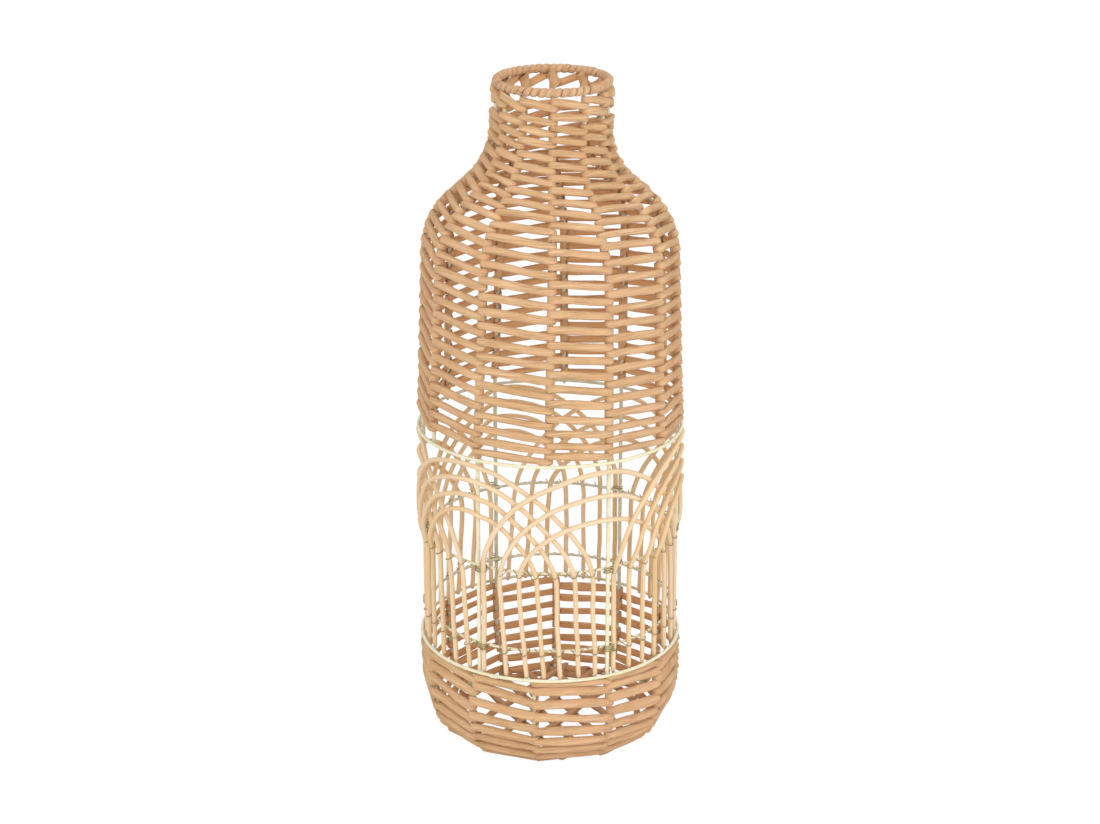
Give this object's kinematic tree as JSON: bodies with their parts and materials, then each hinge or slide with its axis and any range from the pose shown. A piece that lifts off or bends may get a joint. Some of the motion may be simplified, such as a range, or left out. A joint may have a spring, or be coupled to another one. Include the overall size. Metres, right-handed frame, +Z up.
{
  "type": "rattan vase",
  "caption": "Tall open vase with a narrow neck, woven from paper cord on a wire frame, with a see-through lattice of bent rattan sticks.",
  "frame": {"origin": "middle of the base, on the plane that the vase stands on", "axes": "+Z up along the vase's axis, -Y towards the viewer of the picture, +X to the picture's right"},
  "size_m": [0.2012, 0.2012, 0.5038],
  "materials": {
    "painted_wire": "cream satin paint",
    "rattan_stick": "pale peeled rattan, matt",
    "paper_cord": "twisted flat paper cord, matt",
    "base_cord": "twisted flat paper cord, matt"
  },
  "bodies": {
    "root": {"lower_ring": "painted_wire", "upper_ring": "painted_wire", "tie_ring_lower": "painted_wire", "tie_ring_upper": "painted_wire", "rim_wire": "painted_wire", "stake_long_1": "painted_wire", "stake_long_2": "painted_wire", "stake_long_3": "painted_wire", "stake_long_4": "painted_wire", "stake_long_5": "painted_wire", "stake_long_6": "painted_wire", "stake_upper_1": "painted_wire", "stake_upper_2": "painted_wire", "stake_upper_3": "painted_wire", "stake_upper_4": "painted_wire", "stake_upper_5": "painted_wire", "stake_upper_6": "painted_wire", "stake_lower_1": "painted_wire", "stake_lower_2": "painted_wire", "stake_lower_3": "painted_wire", "stake_lower_4": "painted_wire", "stake_lower_5": "painted_wire", "stake_lower_6": "painted_wire", "arch_1_1": "rattan_stick", "arch_1_2": "rattan_stick", "arch_1_3": "rattan_stick", "arch_2_1": "rattan_stick", "arch_2_2": "rattan_stick", "arch_2_3": "rattan_stick", "arch_2_4": "rattan_stick", "arch_3_1": "rattan_stick", "arch_3_2": "rattan_stick", "arch_3_3": "rattan_stick", "arch_4_1": "rattan_stick", "arch_4_2": "rattan_stick", "arch_4_3": "rattan_stick", "arch_4_4": "rattan_stick", "arch_5_1": "rattan_stick", "arch_5_2": "rattan_stick", "arch_5_3": "rattan_stick", "arch_6_1": "rattan_stick", "arch_6_2": "rattan_stick", "arch_6_3": "rattan_stick", "arch_6_4": "rattan_stick", "body_weave": "paper_cord", "neck_weave": "paper_cord", "foot_weave": "paper_cord", "rim_wrap": "paper_cord", "base_bar_lower_1": "base_cord", "base_bar_lower_2": "base_cord", "base_bar_lower_3": "base_cord", "base_bar_lower_4": "base_cord", "base_bar_upper_1": "base_cord", "base_bar_upper_2": "base_cord", "base_bar_upper_3": "base_cord", "base_ring": "base_cord"}
  },
  "joints": []
}
